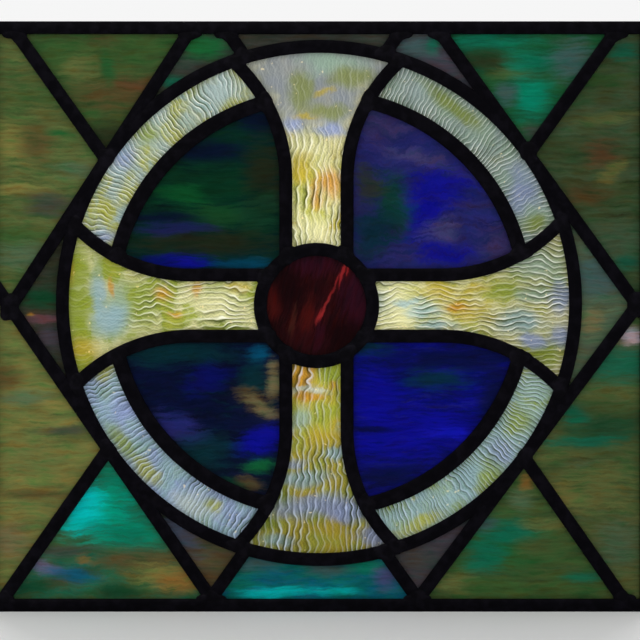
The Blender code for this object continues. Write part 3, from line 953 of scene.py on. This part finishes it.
DUSK = (66, 56, 70)
SLATE = (58, 78, 82)
BLUE_GREY = (58, 66, 90)
MAUVE = (108, 92, 134)
PINK = (98, 60, 74)
SHELL = (196, 172, 196)
TAN = (112, 98, 68)
AMBER = (222, 146, 26)
GLOW = (132, 92, 44)
GOLD = (202, 176, 44)
LEMON = (186, 186, 62)
LIME = (148, 166, 46)
CREAM = (236, 230, 172)
MILK = (208, 220, 216)
LAVENDER = (156, 172, 224)
PEARL = (146, 154, 168)
FERN = (140, 150, 76)
ICE = (158, 194, 206)
SEA = (160, 190, 168)
MIST = (176, 198, 198)
MAROON = (26, 4, 8)
OXBLOOD = (50, 11, 17)
BLOOD = (88, 20, 18)
WINE = (58, 14, 34)
CHESTNUT = (96, 38, 30)
SCARLET = (236, 60, 64)

# How far apart a pane's points lie: across its ripples and along them, and on the sheets without ripples
ACROSS_GRID = 0.75
ALONG_GRID = 1.25
COARSE_GRID = 3.0
RUBY_GRID = 1.5

# Where along a pane its ripples die away, on a sheet where they don't
NEVER = 1000.0

# Each sheet takes the next number as the seed of its noise and its waves
RIPPLED_NUMBERS, STREAKY_NUMBERS = itertools.count(), itertools.count()


def upright_arm(x, z):
    return x, z


def level_arm(x, z):
    return z, x


def round_the_ring(x, z):
    """Ripples that run outwards: across is the length of arc, and along is the distance from the centre."""
    return np.arctan2(z, x) * (RING_RADIUS + INNER_RADIUS) / 2, np.hypot(x, z)


def rippled_pane(name, way, pitch, fade, near, far, colours, spots, glint_colour=GLINT):
    """A rippled sheet: the way its ripples run, their pitch, where they die away, how much light it lets
    through near the hub and far from it, the colours of its clouds, and its patches of colour."""
    number = next(RIPPLED_NUMBERS)
    material = ripple_glass(f"rippled glass, {name}", colours, spots, 3.1 * number, near, far, glint_colour)
    grids = (ACROSS_GRID, ALONG_GRID) if way is round_the_ring else (ALONG_GRID, ACROSS_GRID)
    pane("glass_" + name, material, "opal_glass", rippled(way, pitch, fade, 10 * number), *grids)


def streaky_pane(name, colours, spots, gain=1.0, swirl=0.012):
    """A streaky sheet: the colours of its streaks, its patches, how much light it lets through beside
    the others, and how much its streaks swirl."""
    number = next(STREAKY_NUMBERS)
    kind = "blue" if name.startswith("quadrant") else "green"
    material = streaky_glass(f"{kind} glass, {name}", colours, spots, 0.0, swirl, 2.7 * number, gain)
    pane("glass_" + name, material, f"{kind}_glass", wavy(110 + number), COARSE_GRID, COARSE_GRID)


build_border()
build_roundel()
build_lattice()
build_solder()

rippled_pane("arm_head", upright_arm, 4.9, 112.0, 1.28, 0.92, [GOLD, CREAM, LEMON, CREAM], [
    (PEARL, -2, 178, 66, 26), (PEARL, -2, 148, 40, 20), (FERN, -14, 160, 9, 16), (SEA, 8, 180, 22, 8),
    (FERN, 24, 168, 15, 8), (GOLD, 4, 157, 7, 2, 20), (FERN, 4, 144, 14, 5), (GOLD, -10, 140, 10, 2),
    (LAVENDER, 10, 129, 12, 6), (LAVENDER, -20, 132, 7, 7), (CREAM, -8, 114, 18, 6), (GOLD, -14, 100, 9, 9),
    (AMBER, 8, 90, 8, 11), (AMBER, -2, 80, 4, 9), (CREAM, -4, 52, 20, 10),
])
rippled_pane("arm_left", level_arm, 4.5, 128.0, 1.14, 0.9, [LEMON, LIME, CREAM, LEMON], [
    (LIME, -182, 0, 9, 46), (ICE, -166, 4, 5, 22), (SEA, -150, -4, 9, 18), (ICE, -156, -13, 12, 11),
    (AMBER, -155, 13, 2, 7), (AMBER, -116, 7, 7, 5), (AMBER, -92, 10, 3, 6), (AMBER, -108, -9, 6, 2),
    (GOLD, -60, 12, 9, 3), (CREAM, -64, -4, 26, 9), (LIME, -132, -2, 10, 16), (GOLD, -176, -34, 9, 10),
    (GOLD, -186, 26, 3, 12),
])
rippled_pane("arm_right", level_arm, 4.0, NEVER, 1.2, 0.68, [LEMON, CREAM, LEMON, SEA], [
    (CREAM, 52, -2, 18, 24), (MILK, 44, 4, 10, 10), (GOLD, 92, 8, 14, 6), (GOLD, 108, -3, 18, 8),
    (AMBER, 104, -2, 9, 3), (GOLD, 133, -12, 10, 4), (GOLD, 118, 11, 11, 3), (ICE, 80, -6, 13, 5),
    (ICE, 66, 2, 10, 2.5), (ICE, 88, -17, 14, 3), (LIME, 142, 8, 17, 5), (LIME, 150, 20, 12, 5),
    (SEA, 164, 30, 20, 12), (ICE, 150, -14, 17, 9), (SEA, 160, 6, 10, 6), (LAVENDER, 180, 2, 8, 10),
    (LAVENDER, 180, -24, 7, 10), (LIME, 171, -40, 12, 8), (LAVENDER, 160, -30, 9, 4),
])
rippled_pane("arm_foot", upright_arm, 4.9, NEVER, 1.12, 0.64, [LIME, LEMON, GOLD, SEA], [
    (AMBER, -13, -54, 9, 9), (LIME, 10, -52, 9, 8), (AMBER, 13, -60, 3, 4), (MILK, -8, -65, 13, 1.6),
    (AMBER, -7, -71, 9, 3), (SEA, -14, -87, 8, 8), (GOLD, 4, -102, 16, 6), (ICE, 10, -113, 8, 5),
    (LAVENDER, -19, -120, 8, 2.6), (GOLD, 9, -126, 8, 2.4), (ICE, -12, -131, 20, 5), (GOLD, 14, -137, 8, 4),
    (LAVENDER, -4, -152, 44, 8), (GOLD, -12, -142, 16, 2.4), (GOLD, -5, -168, 24, 7),
    (LIME, -40, -164, 14, 7), (ICE, -34, -178, 11, 4), (LAVENDER, 42, -175, 11, 6),
    (LAVENDER, 25, -158, 10, 6),
], glint_colour=COOL_GLINT)
rippled_pane("arc_upper_left", round_the_ring, 3.5, NEVER, 0.96, 0.96, [ICE, MIST, LEMON, ICE], [
    (LAVENDER, -147, 108, 12, 8, 50), (LAVENDER, -163, 50, 10, 5), (LIME, -129, 126, 9, 8, 50),
    (LEMON, -160, 70, 6, 8), (MIST, -80, 156, 18, 9, 30),
])
rippled_pane("arc_upper_right", round_the_ring, 3.3, NEVER, 0.6, 0.6, [SEA, SEA, MIST, FERN], [
    (LIME, 100, 147, 26, 5, -40), (MIST, 68, 154, 14, 9), (LAVENDER, 151, 84, 12, 14), (LIME, 162, 60, 10, 7),
    (SEA, 44, 164, 14, 6),
])
rippled_pane("arc_lower_left", round_the_ring, 3.9, NEVER, 0.92, 0.92, [SEA, ICE, LAVENDER, ICE], [
    (LEMON, -158, -48, 8, 9), (LIME, -146, -105, 18, 6, -48), (LEMON, -128, -127, 12, 5, -42),
    (MILK, -94, -152, 16, 8, -30), (LEMON, -80, -152, 6, 4), (LAVENDER, -148, -76, 12, 14),
], glint_colour=COOL_GLINT)
rippled_pane("arc_lower_right", round_the_ring, 3.2, NEVER, 0.96, 0.96, [LIME, SEA, ICE, LEMON], [
    (LAVENDER, 136, -111, 9, 8, 50), (ICE, 111, -130, 11, 8, 40), (LIME, 149, -88, 9, 9),
    (LIME, 128, -131, 9, 6, 45), (LEMON, 76, -165, 18, 5, 25), (ICE, 58, -159, 11, 7), (SEA, 163, -62, 9, 8),
], glint_colour=COOL_GLINT)

streaky_pane("quadrant_upper_left", [INK, BOTTLE, DEEP_TEAL, BOTTLE], [
    (NAVY, -86, 114, 30, 8), (NAVY, -45, 137, 14, 9), (BOTTLE, -84, 88, 40, 14), (EMERALD, -102, 80, 18, 6),
    (LEAF, -74, 66, 24, 7), (DARK_OLIVE, -40, 97, 14, 24), (FOREST, -46, 66, 14, 14),
    (DARK_OLIVE, -84, 46, 50, 9), (NAVY, -118, 64, 30, 3), (INDIGO, -108, 56, 26, 4),
    (ROYAL, -112, 31, 36, 5), (BRIGHT_BLUE, -98, 30, 14, 4), (PEACOCK, -58, 30, 18, 5),
], gain=0.56)
streaky_pane("quadrant_upper_right", [NAVY, INDIGO, INDIGO, PLUM], [
    (PLUM, 47, 134, 20, 9), (LILAC_GREY, 78, 108, 30, 4, -22), (ROYAL, 88, 84, 24, 15),
    (ROYAL, 76, 62, 14, 16), (BOTTLE, 54, 76, 11, 22), (DARK_OLIVE, 38, 88, 9, 14),
    (DEEP_TEAL, 39, 54, 16, 16), (LILAC_GREY, 88, 55, 15, 9), (ROYAL, 90, 37, 18, 7), (PLUM, 136, 42, 14, 14),
], gain=0.8, swirl=0.045)
streaky_pane("quadrant_lower_left", [INK, NAVY, INK, DEEP_TEAL], [
    (DEEP_TEAL, -112, -37, 44, 8), (PEACOCK, -46, -37, 8, 6), (DEEP_BLUE, -83, -56, 15, 9, 20),
    (DEEP_TEAL, -50, -57, 9, 14), (TAN, -34, -58, 5, 13), (UMBER, -47, -74, 15, 6, -34),
    (TAN, -42, -78, 12, 4, -34), (INDIGO, -100, -94, 20, 9, -30), (ROYAL, -44, -104, 18, 9, 20),
    (DEEP_TEAL, -86, -112, 20, 14), (EMERALD, -46, -121, 11, 4, 12), (UMBER, -50, -134, 9, 5),
    (BOTTLE, -64, -138, 12, 5),
], swirl=0.022)
streaky_pane("quadrant_lower_right", [INK, ROYAL, NAVY, ROYAL, INDIGO], [
    (DEEP_TEAL, 34, -33, 22, 5), (NAVY, 106, -42, 46, 9), (DEEP_TEAL, 88, -57, 22, 7),
    (ROYAL, 42, -70, 17, 15), (ROYAL, 66, -98, 42, 14), (BRIGHT_BLUE, 95, -99, 16, 4), (INK, 36, -95, 22, 2),
    (NAVY, 52, -130, 24, 8), (NAVY, 130, -74, 10, 22),
], gain=0.95)
streaky_pane("field_upper_left", [MOSS, OLIVE, KHAKI, OLIVE], [
    (STRAW, -233, 118, 18, 14), (UMBER, -212, 120, 12, 12), (EMERALD, -195, 129, 12, 2),
    (SAGE, -178, 100, 20, 5), (STRAW, -230, 85, 24, 4), (SMOKE, -201, 74, 18, 8), (MOSS, -228, 51, 24, 5),
    (SAGE, -214, 36, 30, 9),
], gain=0.95)
streaky_pane("triangle_upper_left", [DARK_OLIVE, OLIVE, MOSS, UMBER], [
    (MOSS, -192, 186, 26, 12), (UMBER, -144, 158, 34, 11), (KHAKI, -176, 176, 15, 9),
    (LEAF, -158, 177, 5, 13, 12), (MOSS, -124, 190, 30, 8), (RUST, -138, 163, 13, 4),
    (DARK_OLIVE, -162, 122, 14, 12),
], gain=0.85)
streaky_pane("spandrel_upper_left", [DARK_OLIVE, SMOKE, BOTTLE], [
    (EMERALD, -88, 192, 16, 9), (SMOKE, -92, 178, 16, 4), (TEAL, -108, 166, 10, 4),
])
streaky_pane("strip_head", [DARK_OLIVE, SMOKE, DARK_OLIVE], [])
streaky_pane("spandrel_upper_right", [SMOKE, DUSK, SLATE], [
    (SLATE, 74, 191, 12, 8), (TEAL, 86, 193, 5, 7), (DUSK, 96, 180, 14, 8),
])
streaky_pane("triangle_upper_right", [FOREST, LEAF, FOREST, TEAL], [
    (TEAL, 128, 196, 30, 6), (DARK_OLIVE, 128, 180, 24, 8), (OLIVE, 150, 172, 20, 4), (TEAL, 162, 182, 18, 9),
    (TEAL, 158, 156, 14, 18), (LAGOON, 157, 155, 9, 11), (SLATE, 188, 182, 16, 14), (SLATE, 140, 156, 8, 8),
    (SMOKE, 162, 128, 10, 6),
])
streaky_pane("field_upper_right", [DARK_OLIVE, OLIVE, SAGE, OLIVE], [
    (TEAL, 229, 188, 12, 6), (MOSS, 206, 168, 24, 6), (KHAKI, 214, 138, 26, 4, 5), (RUST, 212, 112, 12, 10),
    (STRAW, 219, 99, 11, 5, 30), (UMBER, 199, 82, 18, 7), (SAGE, 222, 46, 18, 16), (TEAL, 232, 30, 8, 5),
], gain=0.56)
streaky_pane("tip_right", [SMOKE, SAGE, SMOKE], [(SLATE, 208, 20, 20, 14), (TAN, 204, -14, 8, 8)])
streaky_pane("field_lower_right", [OLIVE, KHAKI, OLIVE, SAGE], [
    (FOREST, 214, -92, 34, 16), (TEAL, 222, -46, 34, 12), (SHELL, 234, -25, 9, 6), (TAN, 222, -30, 8, 2),
    (TEAL, 191, -83, 9, 7), (OLIVE, 218, -78, 18, 6), (TEAL, 199, -104, 28, 4), (STRAW, 188, -146, 12, 10),
    (KHAKI, 210, -140, 20, 14), (SAGE, 224, -180, 16, 16),
], gain=0.74)
streaky_pane("tip_left", [SMOKE, DARK_OLIVE, SMOKE], [
    (BOTTLE, -204, 4, 18, 7), (PINK, -206, -12, 14, 3), (AMBER, -216, -9, 3, 1), (DUSK, -200, -26, 12, 8),
])
streaky_pane("field_lower_left", [OLIVE, KHAKI, STRAW, KHAKI], [
    (UMBER, -234, -58, 12, 10), (SAGE, -220, -72, 18, 5), (STRAW, -196, -77, 14, 4),
    (SMOKE, -190, -96, 18, 3), (KHAKI, -214, -118, 20, 9), (UMBER, -212, -143, 28, 3),
    (TAN, -230, -178, 14, 12),
])
streaky_pane("triangle_lower_left", [MOSS, OLIVE, TEAL, UMBER], [
    (TEAL, -150, -160, 36, 26), (LAGOON, -156, -142, 18, 26), (TURQUOISE, -168, -158, 26, 18),
    (CYAN, -176, -152, 15, 17), (LAGOON, -140, -172, 22, 9), (UMBER, -132, -194, 36, 8),
    (SMOKE, -190, -186, 20, 4), (MAUVE, -206, -199, 15, 5, -18), (PEACOCK, -184, -205, 17, 5),
    (GLOW, -178, -193, 5, 3), (STRAW, -112, -204, 24, 9), (GLOW, -104, -208, 15, 8),
    (BOTTLE, -214, -215, 16, 5), (BOTTLE, -150, -215, 16, 4),
], swirl=0.02)
streaky_pane("spandrel_lower_left", [SMOKE, UMBER, SMOKE], [(BLUE_GREY, -104, -174, 18, 8, -40)])
streaky_pane("strip_foot", [DEEP_TEAL, TEAL, PEACOCK, SLATE], [
    (CYAN, -34, -217, 22, 4), (SLATE, -50, -195, 18, 5), (SLATE, 8, -200, 16, 5), (CYAN, 9, -216, 16, 3),
    (TEAL, 34, -197, 16, 5), (LILAC_GREY, 49, -207, 8, 7),
])
streaky_pane("spandrel_lower_right", [SMOKE, DUSK, SMOKE], [(SMOKE, 74, -192, 16, 9)])
streaky_pane("triangle_lower_right", [FOREST, OLIVE, MOSS, OLIVE], [
    (LEAF, 140, -180, 34, 16), (TEAL, 142, -172, 22, 8), (TEAL, 124, -190, 15, 12, 40),
    (SAGE, 152, -147, 9, 9), (GLOW, 156, -134, 5, 4), (KHAKI, 172, -166, 18, 4), (OLIVE, 166, -182, 16, 6),
    (KHAKI, 102, -210, 24, 6), (MOSS, 130, -212, 22, 5), (TEAL, 198, -206, 14, 4), (SLATE, 122, -166, 9, 6),
], gain=0.9)

material = streaky_glass(
    "ruby glass", [MAROON, OXBLOOD, MAROON, OXBLOOD, BLOOD], [
        (BLOOD, -34, 0, 5, 13), (MAROON, -22, 10, 9, 15), (WINE, -2, 30, 15, 8), (WINE, 27, 4, 10, 20),
        (MAROON, 18, -25, 14, 12), (BLOOD, -9, -11, 14, 4, 82), (CHESTNUT, -19, -16, 13, 1.8, 84),
        (OXBLOOD, -9, -29, 14, 7), (WINE, 0, -25, 9, 3, 80), (SCARLET, 6, 0, 17, 0.9, 64),
        (SCARLET, 1, -10, 6, 1.6, 66), (SCARLET, 18, 22, 9, 1.2, 72), (SCARLET, 22, 24, 5, 0.9, 78),
    ],
    turn=74, seed=71, gain=0.6, grain=(40, 17, 5),
)
pane("glass_ruby", material, "ruby_glass", wavy(170), RUBY_GRID, RUBY_GRID)


# Floor, light and camera, in metres

FLOOR_REACH = 30.0


def floor():
    mesh = bpy.data.meshes.new("floor")
    corners = [(FLOOR_REACH * x, FLOOR_REACH * y, 0) for x, y in ((-1, -1), (1, -1), (1, 1), (-1, 1))]
    mesh.from_pydata(corners, [], [(0, 1, 2, 3)])
    t = Tree("pale floor")
    shader = t.node("BsdfPrincipled", {"Base Color": (0.8, 0.8, 0.8), "Roughness": 0.8})
    mesh.materials.append(t.finish(shader))
    obj = add("floor", mesh)


def area_light(name, at, aim, size, power):
    """A soft rectangular light, turned so that its own -Z points at aim."""
    data = bpy.data.lights.new(name, "AREA")
    data.shape = "RECTANGLE"
    data.size, data.size_y = size
    data.energy = power
    obj = add(name, data)
    obj.location = at
    way = np.asarray(aim, float) - np.asarray(at, float)
    obj.rotation_euler = (math.atan2(np.hypot(way[0], way[1]), -way[2]), 0, math.atan2(-way[0], way[1]))
    obj.visible_camera = False


def world(background, ambient):
    """Plain white light from all round, as the camera sees it and as it falls on things."""
    made = bpy.data.worlds.new("studio")
    made.use_nodes = True
    nodes, links = made.node_tree.nodes, made.node_tree.links
    shader = nodes["Background"]
    path = nodes.new("ShaderNodeLightPath")
    mix = nodes.new("ShaderNodeMix")
    mix.inputs[2].default_value, mix.inputs[3].default_value = ambient, background
    links.new(path.outputs["Is Camera Ray"], mix.inputs[0])
    links.new(mix.outputs[0], shader.inputs["Strength"])
    shader.inputs["Color"].default_value = (1, 1, 1, 1)
    bpy.context.scene.world = made


floor()
world(background=0.92, ambient=0.55)
area_light("light behind", at=(0, 0.75, 0.24), aim=(0, 0, 0.22), size=(1.5, 1.3), power=22)
area_light("light in front", at=(-0.5, -1.6, 1.3), aim=(0, 0, 0.2), size=(1.2, 1.2), power=5)
area_light("light above", at=(0, -0.5, 1.9), aim=(0, -0.5, 0), size=(2.4, 1.6), power=12)

# The view: the photo's scale and width in pixels, and the place on the cartoon that it is centred on
MM_PER_PIXEL = 0.75
PHOTO_WIDTH = 640
VIEW_CENTRE = [0.75, 0, -12.75]
LENS = 85.0
camera_data = bpy.data.cameras.new("camera")
camera_data.lens = LENS
camera = add("camera", camera_data)
distance = LENS / camera_data.sensor_width * PHOTO_WIDTH * MM_PER_PIXEL * MM
camera.location = place(VIEW_CENTRE) - np.array([0, distance, 0])
camera.rotation_euler = (math.pi / 2, 0, 0)
bpy.context.scene.camera = camera
bpy.context.scene.view_settings.view_transform = "Standard"
